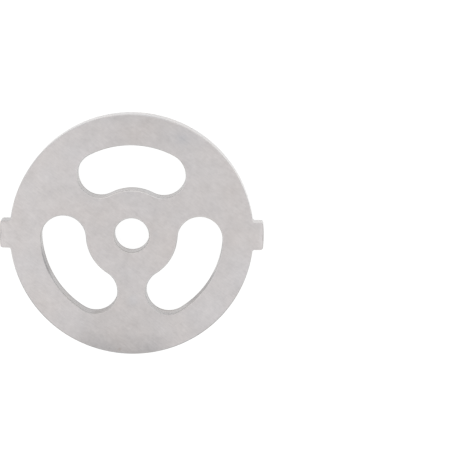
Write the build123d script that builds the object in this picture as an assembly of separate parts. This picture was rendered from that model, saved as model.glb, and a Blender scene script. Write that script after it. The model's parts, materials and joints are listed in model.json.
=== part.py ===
"""Kidney plate of a small household meat grinder.

One piece of steel: a flat ground disc with a bore for the end of the feed
screw, three kidney-shaped openings that let the meat through, and two ears on
the rim that stop the plate from turning in the grinder's head.

Millimetres and degrees. The origin is on the bore's axis at the back face, +Z
runs along the bore to the front face, and +X runs out along one ear. One
opening is centred on +Y.
"""
import math
import os

from build123d import *

# The disc.
OUTER_DIAMETER = 54.0
THICKNESS = 4.0
BORE_DIAMETER = 7.7

# The kidney openings. Each one fills the ring between the hub and the rim,
# and its round ends leave a spoke to the next opening.
OPENING_COUNT = 3
FIRST_OPENING_ANGLE = 90.0  # from +X to the middle of the first opening
HUB_DIAMETER = 20.3
RIM_WIDTH = 6.85
SPOKE_WIDTH = 6.35  # narrowest metal between two openings

# The ears. Each ends in an arc about the bore's axis.
EAR_WIDTH = 6.1
EAR_REACH = 2.25  # out from the rim
EAR_ROOT_RADIUS = 0.5
EAR_CORNER_RADIUS = 0.5

# The front edge at the end of each ear is rolled over.
EAR_FLAT_LENGTH = 1.05  # out from the rim, before the roll starts
EAR_ROLL_DROP = 0.35  # down from the front face, at the ear's end

# The broken edges.
RIM_EDGE_RADIUS = 0.2
MOUTH_CHAMFER = 0.25  # round the bore and the openings

# How far a cutting shape runs out past the metal.
CUTTER_ROOM = 1.0

# A quarter turn puts a circle's seam on +Y, away from the ears.
QUARTER_TURN = 90.0

# The places of the two sides in a list of flat faces sorted by height.
BACK = 0
FRONT = -1

# Sizes that follow from the ones above.
FULL_TURN = 360.0
RIM_RADIUS = OUTER_DIAMETER / 2
BORE_RADIUS = BORE_DIAMETER / 2
EAR_END_RADIUS = RIM_RADIUS + EAR_REACH
EAR_ROLL_RADIUS = RIM_RADIUS + EAR_FLAT_LENGTH
OPENING_WIDTH = RIM_RADIUS - RIM_WIDTH - HUB_DIAMETER / 2
OPENING_MID_RADIUS = (HUB_DIAMETER + OPENING_WIDTH) / 2
OPENING_PITCH = FULL_TURN / OPENING_COUNT
OPENING_SPACING = OPENING_WIDTH + SPOKE_WIDTH  # between round ends, centre to centre
OPENING_GAP = 2 * math.degrees(math.asin(OPENING_SPACING / (2 * OPENING_MID_RADIUS)))
OPENING_SWEEP = OPENING_PITCH - OPENING_GAP


def distance_from_axis(vertex: Vertex) -> float:
    """How far a corner of the outline lies from the bore's axis."""
    return Vector(vertex.X, vertex.Y).length


def plate_outline() -> Sketch:
    """The disc with its two ears, rounded at their roots and corners."""
    strip = Rectangle(2 * (EAR_END_RADIUS + CUTTER_ROOM), EAR_WIDTH)
    ears = strip & Rot(0, 0, QUARTER_TURN) * Circle(EAR_END_RADIUS)
    outline = Circle(RIM_RADIUS) + ears
    roots = outline.vertices().group_by(distance_from_axis)[0]
    outline = fillet(roots, EAR_ROOT_RADIUS)
    corners = outline.vertices().group_by(distance_from_axis)[-1]
    return fillet(corners, EAR_CORNER_RADIUS)


def kidney_opening(middle_angle: float) -> Sketch:
    """A slot of even width along an arc about the bore, with round ends."""
    start_angle = middle_angle - OPENING_SWEEP / 2
    centre_line = CenterArc((0, 0), OPENING_MID_RADIUS, start_angle, OPENING_SWEEP)
    return SlotArc(centre_line, OPENING_WIDTH)


def plate_profile() -> Sketch:
    """The outline with the bore and the openings cut out of it."""
    profile = plate_outline() - Circle(BORE_RADIUS)
    for index in range(OPENING_COUNT):
        profile -= kidney_opening(FIRST_OPENING_ANGLE + index * OPENING_PITCH)
    return profile


def ground_face(plate: Part, side: int) -> Face:
    """The flat face on one side of the plate."""
    return plate.faces().filter_by(Axis.Z).sort_by(Axis.Z)[side]


def break_edges(plate: Part, side: int) -> Part:
    """Round the rim's edge and chamfer the mouth of each hole, on one side."""
    plate = fillet(ground_face(plate, side).outer_wire().edges(), RIM_EDGE_RADIUS)
    mouths = ground_face(plate, side).inner_wires().edges()
    return chamfer(mouths, MOUTH_CHAMFER)


def ear_roll_cutter() -> Part:
    """A ring over the ears whose underside curves down from the front face."""
    start = (EAR_ROLL_RADIUS, THICKNESS)
    end = (EAR_END_RADIUS, THICKNESS - EAR_ROLL_DROP)
    outside = EAR_END_RADIUS + CUTTER_ROOM
    above = THICKNESS + CUTTER_ROOM
    roll = TangentArc(start, end, tangent=(1, 0))
    rest = Polyline(end, (outside, end[1]), (outside, above), (start[0], above), start)
    return revolve(Plane.XZ * make_face(roll + rest), Axis.Z)


def grinder_plate() -> Part:
    """The whole plate, back face down."""
    plate = extrude(plate_profile(), THICKNESS)
    for side in (BACK, FRONT):
        plate = break_edges(plate, side)
    return plate - ear_roll_cutter()


os.makedirs("parts", exist_ok=True)
export_step(grinder_plate(), "parts/grinder_plate.step")
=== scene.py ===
"""Kidney plate of a small household meat grinder, on a white studio table.

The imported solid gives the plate's place and its outer sizes. The plate is
modelled over it from a few driving sizes, edge by edge: the outline with its
two ears, the three kidney openings and the bore. Each edge is drawn as a
stack of closed wires from the front face down to the back face, the wires are
bridged into walls, and the two flat sides are filled between them. The finish
tells the ground sides, the broken edges, the turned rim and the cut walls
apart.

Everything is in metres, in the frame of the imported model: the table is at
height zero, the bore's axis is Z, and the ears point along X.
"""

import json
import logging
import math
from dataclasses import dataclass, field, replace
from enum import Enum
from typing import Any, Callable, Mapping, TypeAlias

import bmesh
import bpy
from mathutils import Euler, Matrix, Vector


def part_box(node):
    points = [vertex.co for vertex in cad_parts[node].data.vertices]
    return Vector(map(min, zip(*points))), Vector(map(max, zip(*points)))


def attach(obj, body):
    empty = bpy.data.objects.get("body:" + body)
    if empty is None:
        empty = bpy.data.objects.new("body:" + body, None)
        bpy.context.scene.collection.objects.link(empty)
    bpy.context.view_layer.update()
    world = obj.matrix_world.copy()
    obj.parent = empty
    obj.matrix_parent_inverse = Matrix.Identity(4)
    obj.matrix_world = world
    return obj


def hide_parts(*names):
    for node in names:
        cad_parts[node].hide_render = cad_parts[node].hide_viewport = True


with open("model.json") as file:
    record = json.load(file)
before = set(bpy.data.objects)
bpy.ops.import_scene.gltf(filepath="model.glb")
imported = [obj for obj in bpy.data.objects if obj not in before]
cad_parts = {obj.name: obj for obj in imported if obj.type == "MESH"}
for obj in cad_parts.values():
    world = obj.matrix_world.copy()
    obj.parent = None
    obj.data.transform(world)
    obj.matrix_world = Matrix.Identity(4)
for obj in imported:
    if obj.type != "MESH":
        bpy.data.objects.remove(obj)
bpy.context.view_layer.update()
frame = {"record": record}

MM = 0.001
QUARTER = math.pi / 2
HALF_TURN = math.pi
FULL_TURN = 2 * math.pi

NODE = "grinder_plate"
PIECE = "kidney_plate"
BODY = "root"

# How near two places, or two heights, count as the same.
SAME_PLACE = 0.0005 * MM
SAME_HEIGHT = 0.002 * MM

# The size of the plane that is merged into a wire's first point.
SEED_SIZE = 0.01 * MM

# The least that a flat side's unit normal rises or falls, and the most that a wall's does.
FLAT = 0.999
STEEP = math.sin(math.radians(20.0))

# The sharpest bend between two faces that is still shaded smooth.
SMOOTH_ANGLE = math.radians(35.0)

# The middle of a noise, and what spreads it from there to about -1 and 1.
NOISE_MIDDLE = 0.5
NOISE_MIDDLES = (NOISE_MIDDLE, NOISE_MIDDLE, NOISE_MIDDLE)
NOISE_GAIN = 4.0

# Shifts where the tint reads its noise, so that it differs from the other noises.
TINT_OFFSET = (1.0, 1.0, 1.0)

# Multiplies a place to leave its height out.
IN_PLANE = (1.0, 1.0, 0.0)

WHITE = (1.0, 1.0, 1.0, 1.0)

LOG = logging.getLogger(PIECE)

Colour: TypeAlias = tuple[float, float, float]

# What an input of a node takes: another node's output, or a value.
Feed: TypeAlias = bpy.types.NodeSocket | float | tuple[float, ...]


def pole(radius: float, angle: float, height: float = 0.0) -> Vector:
    """The point at a radius and an angle about the bore's axis."""
    return Vector((radius * math.cos(angle), radius * math.sin(angle), height))


def mirrored(point: Vector) -> Vector:
    """The point on the other side of the plane between the two ears."""
    return Vector((-point.x, point.y, point.z))


def half_turned(point: Vector) -> Vector:
    """The point half a turn round the bore's axis."""
    return Vector((-point.x, -point.y, point.z))


def select_vertices(wanted: Callable[[Vector], bool]) -> None:
    """Select, in edit mode, the vertices whose place passes a test.

    Args:
        wanted: Takes a vertex's place and says whether it is selected.
    """
    data = bpy.context.edit_object.data
    mesh = bmesh.from_edit_mesh(data)
    for vertex in mesh.verts:
        vertex.select_set(wanted(vertex.co))
    mesh.select_flush(True)
    mesh.select_flush(False)
    bmesh.update_edit_mesh(data)


@dataclass(frozen=True)
class Level:
    """One height on an edge, and how far the metal stands back there.

    Attributes:
        height: Above the table.
        inset: Back from the rim, from an ear's side or from an opening's wall.
        roll: Back from an ear's end.
    """

    height: float
    inset: float
    roll: float


class Pen:
    """Draws a closed wire in edit mode, one arc or line after another."""

    def __init__(self, start: Vector) -> None:
        """Put the pen down.

        Args:
            start: The wire's first point.
        """
        bpy.ops.mesh.select_all(action="DESELECT")
        bpy.ops.mesh.primitive_plane_add(size=SEED_SIZE, location=start)
        bpy.ops.mesh.merge(type="CENTER")
        self.point = start.copy()

    def arc(self, centre: Vector, turn: float, steps: int) -> None:
        """Draw an arc.

        Args:
            centre: What the arc goes round, at the wire's height.
            turn: How far it goes, counter-clockwise from above.
            steps: How many edges it has.
        """
        bpy.ops.mesh.spin(steps=steps, angle=-turn, center=centre, axis=(0, 0, 1))
        self.point = centre + Matrix.Rotation(turn, 3, "Z") @ (self.point - centre)

    def line(self, end: Vector, steps: int) -> None:
        """Draw a straight run.

        Args:
            end: Where it ends, at the wire's height.
            steps: How many edges it has.
        """
        step = (end - self.point) / steps
        for _ in range(steps):
            bpy.ops.mesh.extrude_region_move(TRANSFORM_OT_translate={"value": step})
        self.point = end.copy()


@dataclass(frozen=True)
class RoundedEdge:
    """The rounded corner between a flat side and a wall."""

    radius: float
    steps: int = 4

    def inset_at(self, drop: float) -> float:
        """How far the metal stands back at a drop from the flat side."""
        left = max(0.0, self.radius - drop)
        return self.radius - math.sqrt(self.radius**2 - left**2)

    def drops(self) -> list[float]:
        """The drops from the flat side to the end of the corner."""
        turns = [QUARTER * step / self.steps for step in range(self.steps + 1)]
        return [self.radius * (1 - math.cos(turn)) for turn in turns]


@dataclass(frozen=True)
class EarRoll:
    """The rolled front edge at an ear's end: a soft arc that ends in a tight one."""

    reach: float = 1.2 * MM
    soft_radius: float = 2.4 * MM
    tight_radius: float = 0.25 * MM
    soft_steps: int = 6
    tight_steps: int = 4

    def profile(self) -> list[tuple[float, float]]:
        """Follow the roll from the flat side down to the ear's end.

        Returns:
            The drop from the flat side and the way back from the end, step by step.
        """
        bend = math.asin((self.reach - self.tight_radius) / (self.soft_radius - self.tight_radius))
        steps = []
        for step in range(self.soft_steps):
            turn = bend * step / self.soft_steps
            steps.append((self.soft_radius * (1 - math.cos(turn)),
                          self.reach - self.soft_radius * math.sin(turn)))
        soft_drop = self.soft_radius * (1 - math.cos(bend))
        for step in range(self.tight_steps + 1):
            turn = bend + (QUARTER - bend) * step / self.tight_steps
            steps.append((soft_drop + self.tight_radius * (math.cos(bend) - math.cos(turn)),
                          self.tight_radius * (1 - math.sin(turn))))
        return steps


@dataclass
class Edge:
    """A closed edge of the plate, from the front face down its wall to the back face."""

    thickness: float
    wall_rows: int

    def levels(self) -> list[Level]:
        """The heights that the edge is drawn at, from the front face down."""
        raise NotImplementedError

    def draw(self, level: Level) -> None:
        """Draw the edge's wire at one level."""
        raise NotImplementedError

    def build(self, name: str) -> bpy.types.Object:
        """Model the edge as a band of its own.

        Args:
            name: The new object's name.

        Returns:
            The band, open at the two flat sides.
        """
        bpy.ops.object.select_all(action="DESELECT")
        bpy.ops.object.add(type="MESH", enter_editmode=True)
        band = bpy.context.object
        band.name = name
        levels = self.levels()
        for level in levels:
            self.draw(level)
        bpy.ops.mesh.select_all(action="SELECT")
        bpy.ops.mesh.remove_doubles(threshold=SAME_PLACE)
        steps = list(zip(levels, levels[1:]))
        wall = max(steps, key=lambda step: step[0].height - step[1].height)
        for step in steps:
            self._bridge(*step, self.wall_rows if step is wall else 0)
        bpy.ops.object.mode_set(mode="OBJECT")
        return band

    @staticmethod
    def _bridge(upper: Level, lower: Level, cuts: int) -> None:
        """Fill the band between the wires at two levels.

        Args:
            upper: The level of the first wire.
            lower: The level of the second.
            cuts: How many rows of vertices stand between them.
        """
        heights = (upper.height, lower.height)
        select_vertices(lambda place: any(abs(place.z - z) < SAME_HEIGHT for z in heights))
        bpy.ops.mesh.bridge_edge_loops(number_cuts=cuts, interpolation="LINEAR")


@dataclass
class Outline(Edge):
    """The rim with its two ears."""

    rim_radius: float
    ear_end_radius: float
    ear_width: float = 6.1 * MM
    root_radius: float = 0.5 * MM
    corner_radius: float = 0.5 * MM
    edge: RoundedEdge = RoundedEdge(0.2 * MM)
    roll: EarRoll = EarRoll()
    rim_steps: int = 180
    end_steps: int = 16
    corner_steps: int = 6
    side_steps: int = 3
    root_steps: int = 6

    def levels(self) -> list[Level]:
        """Work out the levels of the rolled front edge and of the back edge.

        Returns:
            The levels, from the front face down.
        """
        front = [Level(self.thickness - drop, self.edge.inset_at(drop), setback)
                 for drop, setback in self.roll.profile()]
        back = [Level(drop, self.edge.inset_at(drop), self.edge.inset_at(drop))
                for drop in reversed(self.edge.drops())]
        return front + back

    def draw(self, level: Level) -> None:
        """Draw the outline, one half and then the other, from the lower end of the ear on +X.

        Args:
            level: The height, and how far the metal stands back there.
        """
        rim = self.rim_radius - level.inset
        side = self.ear_width / 2 - level.inset
        end = self.ear_end_radius - level.roll
        root = self.root_radius + level.inset
        corner = self.corner_radius
        end_turn = math.asin((side - corner) / (end - corner))
        root_turn = math.asin((side + root) / (rim + root))
        axis = Vector((0, 0, level.height))
        corner_centre = pole(end - corner, end_turn, level.height)
        root_centre = pole(rim + root, root_turn, level.height)
        side_foot = root_centre - Vector((0, root, 0))
        side_tip = corner_centre + Vector((0, corner, 0))
        pen = Pen(pole(end, -end_turn, level.height))
        for turned in (Vector.copy, half_turned):
            pen.arc(axis, 2 * end_turn, self.end_steps)
            pen.arc(turned(corner_centre), QUARTER - end_turn, self.corner_steps)
            pen.line(turned(side_foot), self.side_steps)
            pen.arc(turned(root_centre), root_turn - QUARTER, self.root_steps)
            pen.arc(axis, HALF_TURN - 2 * root_turn, self.rim_steps)
            pen.arc(turned(mirrored(root_centre)), root_turn - QUARTER, self.root_steps)
            pen.line(turned(mirrored(side_tip)), self.side_steps)
            pen.arc(turned(mirrored(corner_centre)), QUARTER - end_turn, self.corner_steps)


@dataclass
class Mouthed(Edge):
    """An edge round a hole, with a rounded mouth on each side."""

    front_mouth: RoundedEdge
    back_mouth: RoundedEdge

    def levels(self) -> list[Level]:
        """Work out the levels of the front mouth and of the back mouth.

        Returns:
            The levels, from the front face down.
        """
        front = [Level(self.thickness - drop, self.front_mouth.inset_at(drop), 0.0)
                 for drop in self.front_mouth.drops()]
        back = [Level(drop, self.back_mouth.inset_at(drop), 0.0)
                for drop in reversed(self.back_mouth.drops())]
        return front + back


@dataclass
class Kidney(Mouthed):
    """A kidney-shaped opening: a ring's sector with round ends."""

    middle_angle: float
    half_sweep: float
    middle_radius: float
    half_width: float
    outer_steps: int = 80
    inner_steps: int = 40
    end_steps: int = 64

    def draw(self, level: Level) -> None:
        """Draw the opening, its outer arc first.

        Args:
            level: The height, and how far the metal stands back there.
        """
        half_width = self.half_width + level.inset
        first = self.middle_angle - self.half_sweep
        last = self.middle_angle + self.half_sweep
        axis = Vector((0, 0, level.height))
        pen = Pen(pole(self.middle_radius + half_width, first, level.height))
        pen.arc(axis, 2 * self.half_sweep, self.outer_steps)
        pen.arc(pole(self.middle_radius, last, level.height), HALF_TURN, self.end_steps)
        pen.arc(axis, -2 * self.half_sweep, self.inner_steps)
        pen.arc(pole(self.middle_radius, first, level.height), HALF_TURN, self.end_steps)


@dataclass
class Bore(Mouthed):
    """The hole for the end of the feed screw."""

    radius: float
    steps: int = 96

    def draw(self, level: Level) -> None:
        """Draw the bore.

        Args:
            level: The height, and how far the metal stands back there.
        """
        bpy.ops.mesh.select_all(action="DESELECT")
        bpy.ops.mesh.primitive_circle_add(
            vertices=self.steps, radius=self.radius + level.inset, location=(0, 0, level.height)
        )


class Graph:
    """A node tree that is being wired."""

    def __init__(self, tree: bpy.types.NodeTree) -> None:
        """Start on a tree with no nodes in it.

        Args:
            tree: The tree of a material, a world or a group.
        """
        self.tree = tree
        tree.nodes.clear()

    def add(self, kind: str, inputs: Mapping[str | int, Feed] | None = None,
            **settings: Any) -> bpy.types.Node:
        """Add a node.

        Args:
            kind: The node's type, without its "ShaderNode" in front.
            inputs: What feeds each input, by the input's name or place.
            settings: The node's own properties.

        Returns:
            The node.
        """
        node = self.tree.nodes.new("ShaderNode" + kind)
        for key, value in settings.items():
            setattr(node, key, value)
        for key, value in (inputs or {}).items():
            if isinstance(value, bpy.types.NodeSocket):
                self.tree.links.new(value, node.inputs[key])
            else:
                node.inputs[key].default_value = value
        return node

    def math(self, operation: str, *values: Feed) -> bpy.types.NodeSocket:
        """The result of a Math node's operation on numbers or outputs."""
        return self.add("Math", dict(enumerate(values)), operation=operation).outputs[0]

    def vector(self, operation: str, *values: Feed) -> bpy.types.NodeSocket:
        """The result of a Vector Math node's operation on vectors or outputs."""
        return self.add("VectorMath", dict(enumerate(values)), operation=operation).outputs[0]

    def length(self, vector: Feed) -> bpy.types.NodeSocket:
        """The length of a vector."""
        return self.add("VectorMath", {0: vector}, operation="LENGTH").outputs["Value"]

    def turned(self, vector: Feed, angle: Feed) -> bpy.types.NodeSocket:
        """A vector turned about Z."""
        inputs = {"Vector": vector, "Angle": angle}
        return self.add("VectorRotate", inputs, rotation_type="Z_AXIS").outputs[0]

    def total(self, *values: Feed) -> bpy.types.NodeSocket:
        """Add up outputs.

        Args:
            values: The outputs, two or more.

        Returns:
            Their sum.
        """
        result = values[0]
        for value in values[1:]:
            result = self.math("ADD", result, value)
        return result

    def group(self, effect: bpy.types.NodeTree, inputs: Mapping[str, Feed]) -> bpy.types.NodeSocket:
        """Place an effect and give its output."""
        return self.add("Group", inputs, node_tree=effect).outputs[0]


class Socket(Enum):
    """The kinds of socket that an effect has."""

    VALUE = "NodeSocketFloat"
    VECTOR = "NodeSocketVector"
    COLOUR = "NodeSocketColor"


class Effects:
    """The effects that the finishes share, each a node group that is built once."""

    GRAIN_DETAIL = 3.0

    def __init__(self) -> None:
        """Build them all."""
        self.streaks = self._streaks()
        self.clouds = self._clouds()
        self.specks = self._specks()
        self.sector = self._sector()
        self.smudge = self._soft_patch()
        self.shade = self._shade()

    @staticmethod
    def _start(name: str, inputs: Mapping[str, Socket], output: tuple[str, Socket]
               ) -> tuple[Graph, bpy.types.NodeOutputs]:
        """Make an empty group.

        Args:
            name: The group's name.
            inputs: Its inputs' names and kinds.
            output: Its output's name and kind.

        Returns:
            The group's graph, and the sockets of its inputs.
        """
        tree = bpy.data.node_groups.new(name, "ShaderNodeTree")
        for label, kind in inputs.items():
            tree.interface.new_socket(label, in_out="INPUT", socket_type=kind.value)
        tree.interface.new_socket(output[0], in_out="OUTPUT", socket_type=output[1].value)
        graph = Graph(tree)
        return graph, tree.nodes.new("NodeGroupInput").outputs

    @staticmethod
    def _end(graph: Graph, result: bpy.types.NodeSocket) -> bpy.types.NodeTree:
        """Lead the result out of a group.

        Args:
            graph: The group's graph.
            result: What the group puts out.

        Returns:
            The group.
        """
        out = graph.tree.nodes.new("NodeGroupOutput")
        graph.tree.links.new(result, out.inputs[0])
        return graph.tree

    def _streaks(self) -> bpy.types.NodeTree:
        """Grain that runs one way across a flat side, about -1 to 1.

        Returns:
            The group.
        """
        graph, given = self._start(
            "directional_grain",
            {"Vector": Socket.VECTOR, "Angle": Socket.VALUE, "Length": Socket.VALUE,
             "Width": Socket.VALUE},
            ("Grain", Socket.VALUE),
        )
        turned = graph.turned(given["Vector"], given["Angle"])
        parts = graph.add("SeparateXYZ", {0: turned}).outputs
        place = graph.add("CombineXYZ", {
            0: graph.math("DIVIDE", parts[0], given["Length"]),
            1: graph.math("DIVIDE", parts[1], given["Width"]),
            2: graph.math("DIVIDE", parts[2], given["Width"]),
        }).outputs[0]
        noise = graph.add("TexNoise", {
            "Vector": place, "Scale": 1.0, "Detail": self.GRAIN_DETAIL,
        }).outputs[0]
        return self._end(graph, self._centred(graph, noise))

    def _clouds(self) -> bpy.types.NodeTree:
        """Soft blotches, about -1 to 1, with finer and finer ones inside them.

        Returns:
            The group.
        """
        graph, given = self._start(
            "cloudy_blotches",
            {"Vector": Socket.VECTOR, "Size": Socket.VALUE, "Detail": Socket.VALUE,
             "Roughness": Socket.VALUE},
            ("Blotches", Socket.VALUE),
        )
        scale = graph.math("DIVIDE", 1.0, given["Size"])
        noise = graph.add("TexNoise", {
            "Vector": given["Vector"], "Scale": scale,
            "Detail": given["Detail"], "Roughness": given["Roughness"],
        }).outputs[0]
        return self._end(graph, self._centred(graph, noise))

    @staticmethod
    def _centred(graph: Graph, noise: Feed) -> bpy.types.NodeSocket:
        """A noise spread from about -1 to 1 about its middle."""
        return graph.math("MULTIPLY", graph.math("SUBTRACT", noise, NOISE_MIDDLE), NOISE_GAIN)

    def _specks(self) -> bpy.types.NodeTree:
        """A mask of a few small round specks.

        Returns:
            The group.
        """
        graph, given = self._start(
            "sparse_specks",
            {"Vector": Socket.VECTOR, "Spacing": Socket.VALUE, "Radius": Socket.VALUE,
             "Share": Socket.VALUE},
            ("Specks", Socket.VALUE),
        )
        scale = graph.math("DIVIDE", 1.0, given["Spacing"])
        cells = graph.add("TexVoronoi", {"Vector": given["Vector"], "Scale": scale}).outputs
        reach = graph.math("MULTIPLY", cells["Distance"], given["Spacing"])
        inside = graph.math("SUBTRACT", 1.0, graph.math("DIVIDE", reach, given["Radius"]))
        draw = graph.add("SeparateColor", {0: cells["Color"]}).outputs[0]
        chosen = graph.math("LESS_THAN", draw, given["Share"])
        return self._end(graph, graph.math("MULTIPLY", graph.math("MAXIMUM", inside, 0.0), chosen))

    def _sector(self) -> bpy.types.NodeTree:
        """A mask of a sector about the bore's axis that fades in towards the rim.

        Returns:
            The group.
        """
        graph, given = self._start(
            "toned_sector",
            {"Vector": Socket.VECTOR, "Middle": Socket.VALUE, "Clockwise": Socket.VALUE,
             "Clockwise Fade": Socket.VALUE, "Counter": Socket.VALUE,
             "Counter Fade": Socket.VALUE, "Inner": Socket.VALUE, "Outer": Socket.VALUE},
            ("Sector", Socket.VALUE),
        )
        turned = graph.turned(given["Vector"], graph.math("MULTIPLY", given["Middle"], -1.0))
        radius = graph.length(graph.vector("MULTIPLY", turned, IN_PLANE))
        parts = graph.add("SeparateXYZ", {0: turned}).outputs
        angle = graph.math("ARCTAN2", parts[1], parts[0])
        counter = self._fade(graph, angle, given["Counter"], given["Counter Fade"])
        clockwise = self._fade(graph, graph.math("MULTIPLY", angle, -1.0),
                               given["Clockwise"], given["Clockwise Fade"])
        outwards = graph.add("MapRange", {
            "Value": radius, "From Min": given["Inner"], "From Max": given["Outer"],
        }).outputs["Result"]
        both = graph.math("MULTIPLY", counter, clockwise)
        return self._end(graph, graph.math("MULTIPLY", both, outwards))

    @staticmethod
    def _fade(graph: Graph, value: Feed, edge: Feed, width: Feed) -> bpy.types.NodeSocket:
        """Fade a mask out past an edge.

        Args:
            graph: The group's graph.
            value: What is measured against the edge.
            edge: Up to where the mask is 1.
            width: How far past the edge it has fallen to 0.

        Returns:
            The mask.
        """
        return graph.add("MapRange", {
            "Value": value, "From Min": edge, "From Max": graph.math("ADD", edge, width),
            "To Min": 1.0, "To Max": 0.0,
        }, interpolation_type="SMOOTHSTEP").outputs["Result"]

    def _soft_patch(self) -> bpy.types.NodeTree:
        """A mask of one soft oval, 1 at its middle.

        Returns:
            The group.
        """
        graph, given = self._start(
            "soft_patch",
            {"Vector": Socket.VECTOR, "Centre": Socket.VECTOR, "Angle": Socket.VALUE,
             "Half Length": Socket.VALUE, "Half Width": Socket.VALUE},
            ("Smudge", Socket.VALUE),
        )
        offset = graph.vector("SUBTRACT", given["Vector"], given["Centre"])
        turned = graph.turned(offset, graph.math("MULTIPLY", given["Angle"], -1.0))
        sizes = graph.add("CombineXYZ", {
            0: given["Half Length"], 1: given["Half Width"], 2: given["Half Length"],
        }).outputs[0]
        reach = graph.length(graph.vector("DIVIDE", turned, sizes))
        mask = graph.add("MapRange", {
            "Value": reach, "From Min": 0.0, "From Max": 1.0, "To Min": 1.0, "To Max": 0.0,
        }, interpolation_type="SMOOTHSTEP").outputs["Result"]
        return self._end(graph, mask)

    def _shade(self) -> bpy.types.NodeTree:
        """A colour made lighter or darker, and warmer or cooler, by shares of itself.

        Returns:
            The group.
        """
        graph, given = self._start(
            "shaded_colour",
            {"Colour": Socket.COLOUR, "Amount": Socket.VALUE, "Warmth": Socket.VALUE},
            ("Colour", Socket.COLOUR),
        )
        level = graph.math("ADD", given["Amount"], 1.0)
        share = graph.add("CombineXYZ", {
            0: graph.math("ADD", level, given["Warmth"]),
            1: level,
            2: graph.math("SUBTRACT", level, given["Warmth"]),
        }).outputs[0]
        return self._end(graph, graph.vector("MULTIPLY", given["Colour"], share))


def steel(name: str) -> tuple[bpy.types.Material, Graph, bpy.types.NodeSocket]:
    """Start a material.

    Args:
        name: The material's name.

    Returns:
        The material, its graph and the object coordinates.
    """
    material = bpy.data.materials.new(name)
    material.use_nodes = True
    graph = Graph(material.node_tree)
    place = graph.add("TexCoord").outputs["Object"]
    return material, graph, place


def finish_steel(graph: Graph, colour: Feed, roughness: Feed, normal: Feed) -> None:
    """End a material in a metal shader.

    Args:
        graph: The material's graph.
        colour: What feeds the base colour.
        roughness: What feeds the roughness.
        normal: What feeds the normal.
    """
    shader = graph.add("BsdfPrincipled", {
        "Base Color": colour, "Metallic": 1.0, "Roughness": roughness, "Normal": normal,
    }).outputs[0]
    graph.add("OutputMaterial", {"Surface": shader})


@dataclass(frozen=True)
class TonedSector:
    """A sector about the bore's axis, in degrees, where a finish changes towards the rim.

    Attributes:
        middle: The angle of its middle.
        clockwise: How far it reaches clockwise from there at its full strength.
        clockwise_fade: How much further it fades out.
        counter: How far it reaches counter-clockwise at its full strength.
        counter_fade: How much further it fades out.
        inner: The radius where it starts to fade in.
        outer: The radius where it has its full strength.
        amount: What it adds at its full strength.
    """

    middle: float
    clockwise: float
    clockwise_fade: float
    counter: float
    counter_fade: float
    inner: float
    outer: float
    amount: float = 1.0

    def at(self, amount: float) -> "TonedSector":
        """The same sector with another amount."""
        return replace(self, amount=amount)

    def mask(self, graph: Graph, effects: Effects, place: Feed) -> bpy.types.NodeSocket:
        """Place the sector in a material.

        Args:
            graph: The material's graph.
            effects: The shared effects.
            place: The object coordinates.

        Returns:
            What the sector adds at each place.
        """
        sector = graph.group(effects.sector, {
            "Vector": place,
            "Middle": math.radians(self.middle),
            "Clockwise": math.radians(self.clockwise),
            "Clockwise Fade": math.radians(self.clockwise_fade),
            "Counter": math.radians(self.counter),
            "Counter Fade": math.radians(self.counter_fade),
            "Inner": self.inner,
            "Outer": self.outer,
        })
        return graph.math("MULTIPLY", sector, self.amount)


@dataclass(frozen=True)
class Smudge:
    """A soft oval on the front face: a smear, a stain, a rubbed spot, or a band of painted light or
    painted shade on an ear's rolled edge.

    Attributes:
        x: Its middle's place along the ears.
        y: Its middle's place across them.
        half_length: From its middle to its far ends.
        half_width: From its middle to its sides.
        angle: From +X to its length, in degrees.
        amount: What it adds at its middle.
    """

    x: float
    y: float
    half_length: float
    half_width: float
    angle: float
    amount: float

    def mask(self, graph: Graph, effects: Effects, place: Feed, height: float
             ) -> bpy.types.NodeSocket:
        """Place the oval in a material.

        Args:
            graph: The material's graph.
            effects: The shared effects.
            place: The frayed place.
            height: The height of the side that the oval lies on.

        Returns:
            What the oval adds at each place.
        """
        smudge = graph.group(effects.smudge, {
            "Vector": place,
            "Centre": (self.x, self.y, height),
            "Angle": math.radians(self.angle),
            "Half Length": self.half_length,
            "Half Width": self.half_width,
        })
        return graph.math("MULTIPLY", smudge, self.amount)


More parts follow.
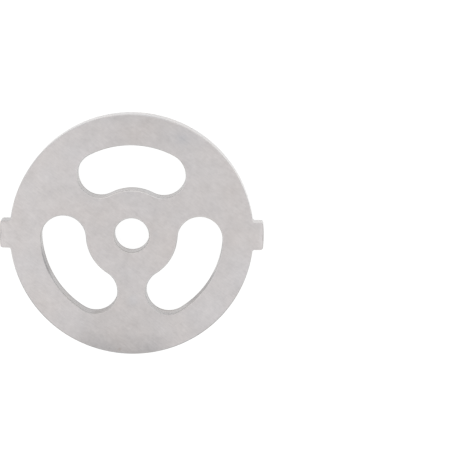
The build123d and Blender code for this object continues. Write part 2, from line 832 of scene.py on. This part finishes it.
@dataclass(frozen=True)
class GroundFinish:
    """The two flat sides, ground one way and satin.

    The front side's height is given, because the soft patches lie on that side alone.
    An amount is a share of the colour. A detail says how often a noise has finer
    blotches inside it, and an evenness how strong these are.
    """

    front: float
    colour: Colour = (0.532, 0.508, 0.505)
    roughness: float = 0.42
    roughness_spread: float = 0.05
    grain_angle: float = math.radians(37.0)
    grain_length: float = 4.0 * MM
    grain_width: float = 0.35 * MM
    grain_amount: float = 0.020
    fine_length: float = 1.8 * MM
    fine_width: float = 0.19 * MM
    fine_amount: float = 0.050
    cloud_size: float = 3.8 * MM
    cloud_detail: float = 4.0
    cloud_evenness: float = 0.95
    cloud_amount: float = 0.100
    tint_size: float = 9.0 * MM
    tint_detail: float = 1.5
    tint_evenness: float = 0.5
    tint_amount: float = 0.013
    speck_spacing: float = 3.2 * MM
    speck_radius: float = 0.32 * MM
    speck_share: float = 0.22
    speck_amount: float = -0.09
    fray_size: float = 0.8 * MM
    fray_detail: float = 2.0
    fray_reach: float = 0.25 * MM
    bump_height: float = 0.004 * MM
    stains: tuple[Smudge, ...] = (
        Smudge(-2.7 * MM, -26.0 * MM, 0.6 * MM, 0.45 * MM, 10.0, 0.03),
        Smudge(11.2 * MM, 21.6 * MM, 2.4 * MM, 1.8 * MM, -25.0, -0.016),
        Smudge(0.3 * MM, -14.8 * MM, 1.9 * MM, 1.9 * MM, 0.0, -0.016),
        Smudge(5.2 * MM, 0.4 * MM, 1.6 * MM, 1.3 * MM, 90.0, -0.010),
        Smudge(28.6 * MM, 0.0, 3.4 * MM, 0.7 * MM, 90.0, -0.012),
    )
    smudges_and_painted_ear_light: tuple[Smudge, ...] = (
        Smudge(-2.7 * MM, -26.0 * MM, 0.7 * MM, 0.55 * MM, 10.0, -0.10),
        Smudge(-4.7 * MM, -25.8 * MM, 0.7 * MM, 0.50 * MM, -20.0, -0.07),
        Smudge(3.1 * MM, -26.0 * MM, 0.6 * MM, 0.50 * MM, 0.0, -0.07),
        Smudge(-14.1 * MM, 14.6 * MM, 1.1 * MM, 0.9 * MM, 30.0, -0.05),
        Smudge(-19.2 * MM, 10.6 * MM, 1.0 * MM, 0.8 * MM, 60.0, -0.045),
        Smudge(-5.6 * MM, -4.8 * MM, 1.5 * MM, 0.7 * MM, -40.0, -0.045),
        Smudge(0.2 * MM, 24.1 * MM, 0.6 * MM, 0.55 * MM, 0.0, -0.07),
        Smudge(1.1 * MM, 4.6 * MM, 0.6 * MM, 0.45 * MM, 90.0, -0.06),
        Smudge(1.1 * MM, 6.9 * MM, 0.6 * MM, 0.45 * MM, 90.0, -0.05),
        Smudge(11.2 * MM, 21.6 * MM, 2.6 * MM, 1.5 * MM, -25.0, -0.035),
        Smudge(12.8 * MM, 13.1 * MM, 0.7 * MM, 0.6 * MM, 45.0, -0.05),
        Smudge(3.3 * MM, 3.1 * MM, 1.3 * MM, 0.9 * MM, 135.0, 0.035),
        Smudge(-9.0 * MM, 24.7 * MM, 1.6 * MM, 1.0 * MM, 20.0, 0.03),
        Smudge(0.2 * MM, -14.0 * MM, 3.4 * MM, 2.6 * MM, 90.0, -0.015),
        # From here on the patches are painted light on the ears' rolled edges: lighter bands where
        # the rolls catch the light, and dark lines of painted shade at the ears' ends and along the
        # left ear's upper side.
        Smudge(-28.05 * MM, 0.0, 3.2 * MM, 0.20 * MM, 90.0, 0.06),
        Smudge(-28.95 * MM, 0.0, 3.4 * MM, 0.28 * MM, 90.0, -0.23),
        Smudge(-28.3 * MM, 2.84 * MM, 1.3 * MM, 0.24 * MM, 0.0, -0.17),
        Smudge(28.2 * MM, 0.0, 3.4 * MM, 1.2 * MM, 90.0, 0.05),
        Smudge(28.7 * MM, 0.0, 3.4 * MM, 0.6 * MM, 90.0, 0.05),
        Smudge(29.12 * MM, 0.0, 3.4 * MM, 0.22 * MM, 90.0, -0.20),
        Smudge(-28.5 * MM, 0.0, 3.4 * MM, 0.5 * MM, 90.0, -0.06),
    )
    # Painted shade and painted highlight: the satin front face's sheen, darker towards the bottom
    # and near the top, lighter at the left and the lower right, and a touch lighter outwards.
    sectors: tuple[TonedSector, ...] = (
        TonedSector(-98.0, 12.0, 14.0, 14.0, 24.0, 13.0 * MM, 24.0 * MM, -0.085),
        TonedSector(-98.0, 10.0, 14.0, 14.0, 18.0, 22.5 * MM, 27.0 * MM, -0.155),
        TonedSector(0.0, 180.0, 1.0, 180.0, 1.0, 12.0 * MM, 22.0 * MM, 0.010),
        TonedSector(75.0, 14.0, 7.0, 18.0, 26.0, 14.0 * MM, 27.0 * MM, -0.06),
        TonedSector(165.0, 30.0, 30.0, 40.0, 30.0, 8.0 * MM, 22.0 * MM, 0.045),
        TonedSector(-28.0, 16.0, 14.0, 16.0, 16.0, 10.0 * MM, 24.0 * MM, 0.02),
    )

    def material(self, name: str, effects: Effects) -> bpy.types.Material:
        """Make the material.

        Args:
            name: The material's name.
            effects: The shared effects.

        Returns:
            The material.
        """
        material, graph, place = steel(name)
        grain = graph.group(effects.streaks, {
            "Vector": place, "Angle": self.grain_angle,
            "Length": self.grain_length, "Width": self.grain_width,
        })
        fine = graph.group(effects.streaks, {
            "Vector": place, "Angle": self.grain_angle,
            "Length": self.fine_length, "Width": self.fine_width,
        })
        clouds = graph.group(effects.clouds, {
            "Vector": place, "Size": self.cloud_size,
            "Detail": self.cloud_detail, "Roughness": self.cloud_evenness,
        })
        tint = graph.group(effects.clouds, {
            "Vector": graph.vector("ADD", place, TINT_OFFSET),
            "Size": self.tint_size, "Detail": self.tint_detail, "Roughness": self.tint_evenness,
        })
        specks = graph.group(effects.specks, {
            "Vector": place, "Spacing": self.speck_spacing,
            "Radius": self.speck_radius, "Share": self.speck_share,
        })
        frayed = self._frayed(graph, place)
        # The tone adds real grain, blotches, specks and smears to painted light: the sectors' sheen
        # and shade, and the bands on the ears' rolled edges.
        tone = graph.total(
            graph.math("MULTIPLY", grain, self.grain_amount),
            graph.math("MULTIPLY", fine, self.fine_amount),
            graph.math("MULTIPLY", clouds, self.cloud_amount),
            graph.math("MULTIPLY", specks, self.speck_amount),
            *(sector.mask(graph, effects, place) for sector in self.sectors),
            *(smudge.mask(graph, effects, frayed, self.front) for smudge in self.smudges_and_painted_ear_light),
        )
        warmth = graph.total(
            graph.math("MULTIPLY", tint, self.tint_amount),
            *(stain.mask(graph, effects, frayed, self.front) for stain in self.stains),
        )
        colour = graph.group(effects.shade, {
            "Colour": (*self.colour, 1.0), "Amount": tone, "Warmth": warmth,
        })
        roughness = graph.math("MULTIPLY_ADD", clouds, self.roughness_spread, self.roughness)
        bump = graph.add("Bump", {
            "Strength": 1.0, "Distance": self.bump_height, "Height": graph.total(grain, fine),
        }).outputs[0]
        finish_steel(graph, colour, roughness, bump)
        return material

    def _frayed(self, graph: Graph, place: Feed) -> bpy.types.NodeSocket:
        """Move the place a little to and fro, which frays the outline of what lies there.

        Args:
            graph: The material's graph.
            place: The object coordinates.

        Returns:
            The frayed place.
        """
        noise = graph.add("TexNoise", {
            "Vector": place, "Scale": 1 / self.fray_size, "Detail": self.fray_detail,
        }).outputs["Color"]
        centred = graph.vector("SUBTRACT", noise, NOISE_MIDDLES)
        shift = graph.add("VectorMath", {
            0: centred, "Scale": NOISE_GAIN * self.fray_reach,
        }, operation="SCALE").outputs[0]
        return graph.vector("ADD", place, shift)


@dataclass(frozen=True)
class WallFinish:
    """A wall or an edge: grains, blotches, and bands that run along it.

    The foot is the part of a wall next to the table. The sectors change the tone;
    on this plate they are painted shade and painted highlight, apart from one darker
    stretch by the left opening. The dulled sectors change the roughness. Amounts,
    detail and evenness are as on the ground sides.
    """

    colour: Colour
    roughness: float
    roughness_spread: float = 0.04
    detail: float = 2.0
    evenness: float = 0.6
    grain_size: float = 0.40 * MM
    grain_amount: float = 0.09
    band_height: float = 0.40 * MM
    band_length: float = 4.0 * MM
    band_amount: float = 0.17
    blotch_size: float = 3.0 * MM
    blotch_amount: float = 0.10
    tint_size: float = 6.0 * MM
    tint_evenness: float = 0.5
    tint_amount: float = 0.020
    bump_height: float = 0.009 * MM
    foot_height: float = 1.0 * MM
    foot_tone: float = 0.0
    foot_dulling: float = 0.0
    sectors: tuple[TonedSector, ...] = ()
    dulled: tuple[TonedSector, ...] = ()

    def material(self, name: str, effects: Effects) -> bpy.types.Material:
        """Make the material.

        Args:
            name: The material's name.
            effects: The shared effects.

        Returns:
            The material.
        """
        material, graph, place = steel(name)
        grains = graph.group(effects.clouds, {
            "Vector": place, "Size": self.grain_size,
            "Detail": self.detail, "Roughness": self.evenness,
        })
        blotches = graph.group(effects.clouds, {
            "Vector": place, "Size": self.blotch_size,
            "Detail": self.detail, "Roughness": self.evenness,
        })
        squeeze = (1 / self.band_length, 1 / self.band_length, 1 / self.band_height)
        bands = graph.group(effects.clouds, {
            "Vector": graph.vector("MULTIPLY", place, squeeze), "Size": 1.0,
            "Detail": self.detail, "Roughness": self.evenness,
        })
        tint = graph.group(effects.clouds, {
            "Vector": graph.vector("ADD", place, TINT_OFFSET),
            "Size": self.tint_size, "Detail": self.detail, "Roughness": self.tint_evenness,
        })
        height = graph.add("SeparateXYZ", {0: place}).outputs[2]
        foot = graph.add("MapRange", {
            "Value": height, "From Min": 0.0, "From Max": self.foot_height,
            "To Min": 1.0, "To Max": 0.0,
        }).outputs["Result"]
        tone = graph.total(
            graph.math("MULTIPLY", foot, self.foot_tone),
            graph.math("MULTIPLY", grains, self.grain_amount),
            graph.math("MULTIPLY", blotches, self.blotch_amount),
            graph.math("MULTIPLY", bands, self.band_amount),
            *(sector.mask(graph, effects, place) for sector in self.sectors),
        )
        colour = graph.group(effects.shade, {
            "Colour": (*self.colour, 1.0), "Amount": tone,
            "Warmth": graph.math("MULTIPLY", tint, self.tint_amount),
        })
        roughness = graph.total(
            graph.math("MULTIPLY_ADD", blotches, self.roughness_spread, self.roughness),
            graph.math("MULTIPLY", foot, self.foot_dulling),
            *(sector.mask(graph, effects, place) for sector in self.dulled),
        )
        bump = graph.add("Bump", {
            "Strength": 1.0, "Distance": self.bump_height, "Height": graph.total(grains, bands),
        }).outputs[0]
        finish_steel(graph, colour, roughness, bump)
        return material


class Finish(Enum):
    """The plate's finishes, in the order of its material slots."""

    GROUND_SIDE = 0
    BROKEN_MOUTH = 1
    CUT_WALL = 2
    BROKEN_RIM_EDGE = 3
    TURNED_RIM = 4


# The stretches of the left opening's edge that are dull on the mouth and on the wall;
# the first is also darker there.
DARK_DULL_STRETCH = TonedSector(-161.0, 4.0, 10.0, 4.0, 8.0, 16.0 * MM, 19.5 * MM)
LOWER_END = TonedSector(-108.5, 5.0, 5.0, 5.0, 4.0, 12.0 * MM, 15.0 * MM)


@dataclass
class KidneyPlate:
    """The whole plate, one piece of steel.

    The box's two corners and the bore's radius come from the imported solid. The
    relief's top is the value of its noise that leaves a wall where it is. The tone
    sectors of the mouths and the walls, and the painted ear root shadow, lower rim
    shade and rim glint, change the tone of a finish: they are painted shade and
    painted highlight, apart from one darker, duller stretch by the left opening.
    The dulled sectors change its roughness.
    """

    lowest: Vector
    highest: Vector
    bore_radius: float
    opening_count: int = 3
    first_opening_angle: float = QUARTER
    hub_diameter: float = 20.3 * MM
    rim_width: float = 6.85 * MM
    spoke_width: float = 6.35 * MM
    front_mouth: RoundedEdge = RoundedEdge(0.25 * MM)
    back_mouth: RoundedEdge = RoundedEdge(0.10 * MM)
    rim_rows: int = 8
    hole_rows: int = 14
    relief: float = 0.012 * MM
    relief_size: float = 0.35 * MM
    relief_depth: int = 2
    relief_top: float = 1.0
    # The mouths' tones: the first stretch by the left opening is darker, and the other sectors are
    # painted shade and painted highlight, darker towards the bottom and at the top opening's outer
    # mouth, lighter round the top opening.
    mouth_tones_and_painted_light: tuple[TonedSector, ...] = (
        DARK_DULL_STRETCH.at(-0.26),
        TonedSector(-90.0, 66.0, 20.0, 28.0, 10.0, 16.0 * MM, 19.5 * MM, -0.07),
        TonedSector(90.0, 32.0, 16.0, 32.0, 16.0, 8.0 * MM, 10.0 * MM, 0.17),
        TonedSector(90.0, 30.0, 20.0, 24.0, 20.0, 17.0 * MM, 19.5 * MM, -0.23),
    )
    dulled_mouths: tuple[TonedSector, ...] = (DARK_DULL_STRETCH.at(0.12), LOWER_END.at(0.15))
    # The walls' tones: the first stretch by the left opening is darker, and the other sectors are
    # painted shade and painted highlight, darker towards the bottom and lighter round the top
    # opening.
    wall_tones_and_painted_light: tuple[TonedSector, ...] = (
        DARK_DULL_STRETCH.at(-0.12),
        TonedSector(-90.0, 70.0, 20.0, 56.0, 12.0, 16.0 * MM, 19.5 * MM, -0.04),
        TonedSector(90.0, 26.0, 14.0, 26.0, 14.0, 8.0 * MM, 10.0 * MM, 0.10),
    )
    dulled_walls: tuple[TonedSector, ...] = (
        DARK_DULL_STRETCH.at(0.10),
        LOWER_END.at(0.12),
        TonedSector(-42.0, 4.0, 9.0, 14.0, 6.0, 16.0 * MM, 19.5 * MM, 0.22),
    )
    # Painted shadow: a dark line where the left ear meets the rim, below the ear, on the rim's edge
    # and the turned rim.
    painted_ear_root_shadow: TonedSector = TonedSector(
        174.0, 2.5, 1.0, 2.5, 1.0, 27.0 * MM, 27.2 * MM, -0.30
    )
    # Painted shade: the rim's broken edge is darker towards the bottom.
    painted_lower_rim_shade: TonedSector = TonedSector(
        -90.0, 45.0, 35.0, 45.0, 35.0, 25.0 * MM, 26.0 * MM, -0.30
    )
    # Painted highlight: a bright glint on the turned rim just above the right ear.
    painted_rim_glint: TonedSector = TonedSector(
        17.0, 2.0, 8.0, 4.0, 14.0, 25.0 * MM, 26.0 * MM, 0.22
    )
    piece: bpy.types.Object = field(init=False)

    @property
    def thickness(self) -> float:
        """The plate's thickness, and so the front face's height."""
        return self.highest.z - self.lowest.z

    @property
    def rim_radius(self) -> float:
        """The disc's radius."""
        return self.highest.y

    @property
    def mid_rim_radius(self) -> float:
        """The radius half-way across the rim, outside which only the outline lies."""
        return self.rim_radius - self.rim_width / 2

    def build(self) -> bpy.types.Object:
        """Model the plate.

        Returns:
            The plate, closed, with its place in its mesh.
        """
        half_width = (self.rim_radius - self.rim_width - self.hub_diameter / 2) / 2
        middle_radius = self.hub_diameter / 2 + half_width
        spacing = 2 * half_width + self.spoke_width
        pitch = FULL_TURN / self.opening_count
        half_sweep = pitch / 2 - math.asin(spacing / (2 * middle_radius))
        outline = Outline(self.thickness, self.rim_rows, self.rim_radius, self.highest.x)
        bands = [outline.build("outline_band")]
        hole = (self.thickness, self.hole_rows, self.front_mouth, self.back_mouth)
        for number in range(self.opening_count):
            angle = self.first_opening_angle + number * pitch
            kidney = Kidney(*hole, angle, half_sweep, middle_radius, half_width)
            bands.append(kidney.build(f"kidney_band_{number + 1}"))
        bands.append(Bore(*hole, self.bore_radius).build("bore_band"))
        self.piece = self._joined(bands)
        self._fill_sides()
        self._roughen_walls()
        return self.piece

    @staticmethod
    def _joined(bands: list[bpy.types.Object]) -> bpy.types.Object:
        """Join the bands into one object.

        Args:
            bands: The bands, the outline's first.

        Returns:
            The object.
        """
        bpy.ops.object.select_all(action="DESELECT")
        for band in bands:
            band.select_set(True)
        bpy.context.view_layer.objects.active = bands[0]
        bpy.ops.object.join()
        piece = bands[0]
        piece.name = PIECE
        piece.data.name = PIECE
        return piece

    def _fill_sides(self) -> None:
        """Fill the two flat sides between the bands, and turn all faces outwards."""
        bpy.ops.object.mode_set(mode="EDIT")
        for height in (self.thickness, 0.0):
            select_vertices(lambda place: abs(place.z - height) < SAME_HEIGHT)
            bpy.ops.mesh.fill(use_beauty=True)
        bpy.ops.mesh.select_all(action="SELECT")
        bpy.ops.mesh.normals_make_consistent(inside=False)
        bpy.ops.object.mode_set(mode="OBJECT")

    def _roughen_walls(self) -> None:
        """Give the walls of the openings and the bore a slight real relief."""
        bottom = self.back_mouth.radius + SAME_HEIGHT
        top = self.thickness - self.front_mouth.radius - SAME_HEIGHT
        group = self.piece.vertex_groups.new(name="cut_walls")
        inside = [vertex.index for vertex in self.piece.data.vertices
                  if vertex.co.xy.length < self.mid_rim_radius and bottom < vertex.co.z < top]
        group.add(inside, 1.0, "REPLACE")
        grain = bpy.data.textures.new("cut_wall_relief", type="CLOUDS")
        grain.noise_scale = self.relief_size
        grain.noise_depth = self.relief_depth
        relief = self.piece.modifiers.new("cut_wall_relief", "DISPLACE")
        relief.texture = grain
        relief.texture_coords = "LOCAL"
        relief.direction = "NORMAL"
        relief.mid_level = self.relief_top
        relief.strength = self.relief
        relief.vertex_group = group.name
        bpy.context.view_layer.objects.active = self.piece
        bpy.ops.object.modifier_apply(modifier=relief.name)
        self.piece.vertex_groups.clear()

    def dress(self, effects: Effects) -> None:
        """Give each face its finish.

        Args:
            effects: The shared effects.
        """
        data = self.piece.data
        data.materials.clear()
        looks = self._looks()
        for finish in Finish:
            data.materials.append(looks[finish].material(finish.name.lower(), effects))
        bpy.ops.object.select_all(action="DESELECT")
        self.piece.select_set(True)
        bpy.context.view_layer.objects.active = self.piece
        bpy.ops.object.shade_smooth_by_angle(angle=SMOOTH_ANGLE)
        for face in data.polygons:
            face.material_index = self._finish_of(face).value
            if abs(face.normal.z) > FLAT:
                face.use_smooth = False

    def _looks(self) -> dict[Finish, GroundFinish | WallFinish]:
        """Say what each finish looks like.

        Returns:
            The look of each finish.
        """
        broken = WallFinish(
            colour=(0.54, 0.522, 0.516), roughness=0.30,
            grain_amount=0.06, blotch_amount=0.06, band_amount=0.0,
        )
        cut = WallFinish(
            colour=(0.388, 0.368, 0.364), roughness=0.26, foot_tone=-0.13, foot_dulling=0.25,
            sectors=self.wall_tones_and_painted_light, dulled=self.dulled_walls,
        )
        turned = WallFinish(
            colour=(0.556, 0.532, 0.528), roughness=0.20, grain_amount=0.04,
            band_height=0.13 * MM, band_length=9.0 * MM, band_amount=0.07,
            blotch_amount=0.03, bump_height=0.003 * MM,
            sectors=(self.painted_ear_root_shadow, self.painted_rim_glint),
        )
        return {
            Finish.GROUND_SIDE: GroundFinish(self.highest.z),
            Finish.BROKEN_MOUTH: replace(
                broken, sectors=self.mouth_tones_and_painted_light, dulled=self.dulled_mouths
            ),
            Finish.CUT_WALL: cut,
            Finish.BROKEN_RIM_EDGE: replace(
                broken, sectors=(self.painted_ear_root_shadow, self.painted_lower_rim_shade)
            ),
            Finish.TURNED_RIM: turned,
        }

    def _finish_of(self, face: bpy.types.MeshPolygon) -> Finish:
        """Choose the finish of a face by its place and the way it faces.

        Args:
            face: A face of the plate.

        Returns:
            Its finish.
        """
        height = face.center.z
        drop = self.thickness - height
        if min(height, drop) < SAME_HEIGHT and abs(face.normal.z) > FLAT:
            return Finish.GROUND_SIDE
        radius = face.center.xy.length
        if radius < self.mid_rim_radius:
            is_wall = height > self.back_mouth.radius and drop > self.front_mouth.radius
            return Finish.CUT_WALL if is_wall else Finish.BROKEN_MOUTH
        if abs(face.normal.z) < STEEP:
            return Finish.TURNED_RIM
        is_ear = radius > self.rim_radius
        return Finish.GROUND_SIDE if is_ear and face.normal.z > 0 else Finish.BROKEN_RIM_EDGE


@dataclass
class Studio:
    """The white table, the soft light and the camera.

    The light's levels are the sky's strength at the horizon, on the slope half-way
    up and at the zenith. The angles between them are heights above the horizon.
    """

    table_size: float = 6.0
    table_drop: float = 0.01 * MM
    table_white: float = 0.15
    table_glow: float = 0.91
    table_roughness: float = 0.9
    zenith: float = 1.07
    slope: float = 1.30
    horizon: float = 0.77
    horizon_top: float = math.radians(12.0)
    slope_foot: float = math.radians(34.0)
    slope_top: float = math.radians(50.0)
    zenith_foot: float = math.radians(64.0)
    lens: float = 176.3
    sensor: float = 36.0
    aim: Vector = field(default_factory=lambda: Vector((22.9 * MM, 0.34 * MM, 4.0 * MM)))
    distance: float = 509.0 * MM
    tilt: float = math.radians(-11.22)
    lean: float = math.radians(0.67)
    roll: float = math.radians(0.45)
    nearest: float = 0.01
    furthest: float = 20.0

    def lay_table(self) -> None:
        """Lay the table that the plate rests on."""
        bpy.ops.object.select_all(action="DESELECT")
        bpy.ops.mesh.primitive_plane_add(size=self.table_size, location=(0, 0, -self.table_drop))
        table = bpy.context.object
        table.name = "studio_table"
        material = bpy.data.materials.new("white_table")
        material.use_nodes = True
        graph = Graph(material.node_tree)
        shader = graph.add("BsdfPrincipled", {
            "Base Color": (self.table_white, self.table_white, self.table_white, 1.0),
            "Roughness": self.table_roughness,
            "Emission Color": WHITE,
            "Emission Strength": self.table_glow,
        }).outputs[0]
        graph.add("OutputMaterial", {"Surface": shader})
        table.data.materials.append(material)

    def light_room(self) -> None:
        """Light the room from all sides, brightest half-way up."""
        world = bpy.data.worlds.new("studio_room")
        bpy.context.scene.world = world
        world.use_nodes = True
        graph = Graph(world.node_tree)
        ray = graph.add("TexCoord").outputs["Generated"]
        height = graph.add("SeparateXYZ", {0: ray}).outputs[2]
        low = graph.add("MapRange", {
            "Value": height,
            "From Min": math.sin(self.horizon_top), "From Max": math.sin(self.slope_foot),
            "To Min": self.horizon, "To Max": self.slope,
        }, interpolation_type="SMOOTHSTEP").outputs["Result"]
        high = graph.add("MapRange", {
            "Value": height,
            "From Min": math.sin(self.slope_top), "From Max": math.sin(self.zenith_foot),
            "To Min": 0.0, "To Max": self.zenith - self.slope,
        }, interpolation_type="SMOOTHSTEP").outputs["Result"]
        level = graph.math("ADD", low, high)
        background = graph.add("Background", {"Color": WHITE, "Strength": level}).outputs[0]
        graph.add("OutputWorld", {"Surface": background})

    def set_camera(self) -> None:
        """Stand the camera off its aim, turned from looking straight down."""
        turn = Euler((self.tilt, self.lean, self.roll))
        bpy.ops.object.camera_add(rotation=turn)
        camera = bpy.context.object
        camera.name = "studio_camera"
        camera.location = self.aim + turn.to_matrix() @ Vector((0, 0, self.distance))
        camera.data.lens = self.lens
        camera.data.sensor_width = self.sensor
        camera.data.clip_start = self.nearest
        camera.data.clip_end = self.furthest
        bpy.context.scene.camera = camera


def bore_radius_of(record: Mapping[str, Any]) -> float:
    """The radius of the bore that the record's mounts give."""
    bores = [mount for mount in record["mounts"] if mount["kind"] == "bore"]
    return bores[0]["dims"]["r_mm"] * MM


def main() -> None:
    """Build the plate and the studio."""
    logging.basicConfig(level=logging.INFO, format="%(name)s: %(message)s")
    lowest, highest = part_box(NODE)
    effects = Effects()
    plate = KidneyPlate(lowest, highest, bore_radius_of(frame["record"]))
    piece = plate.build()
    plate.dress(effects)
    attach(piece, BODY)
    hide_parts(NODE)
    LOG.info("%s: %d faces", piece.name, len(piece.data.polygons))
    studio = Studio()
    studio.lay_table()
    studio.light_room()
    studio.set_camera()
    bpy.context.scene.view_settings.view_transform = "Standard"


if __name__ == "__main__":
    main()
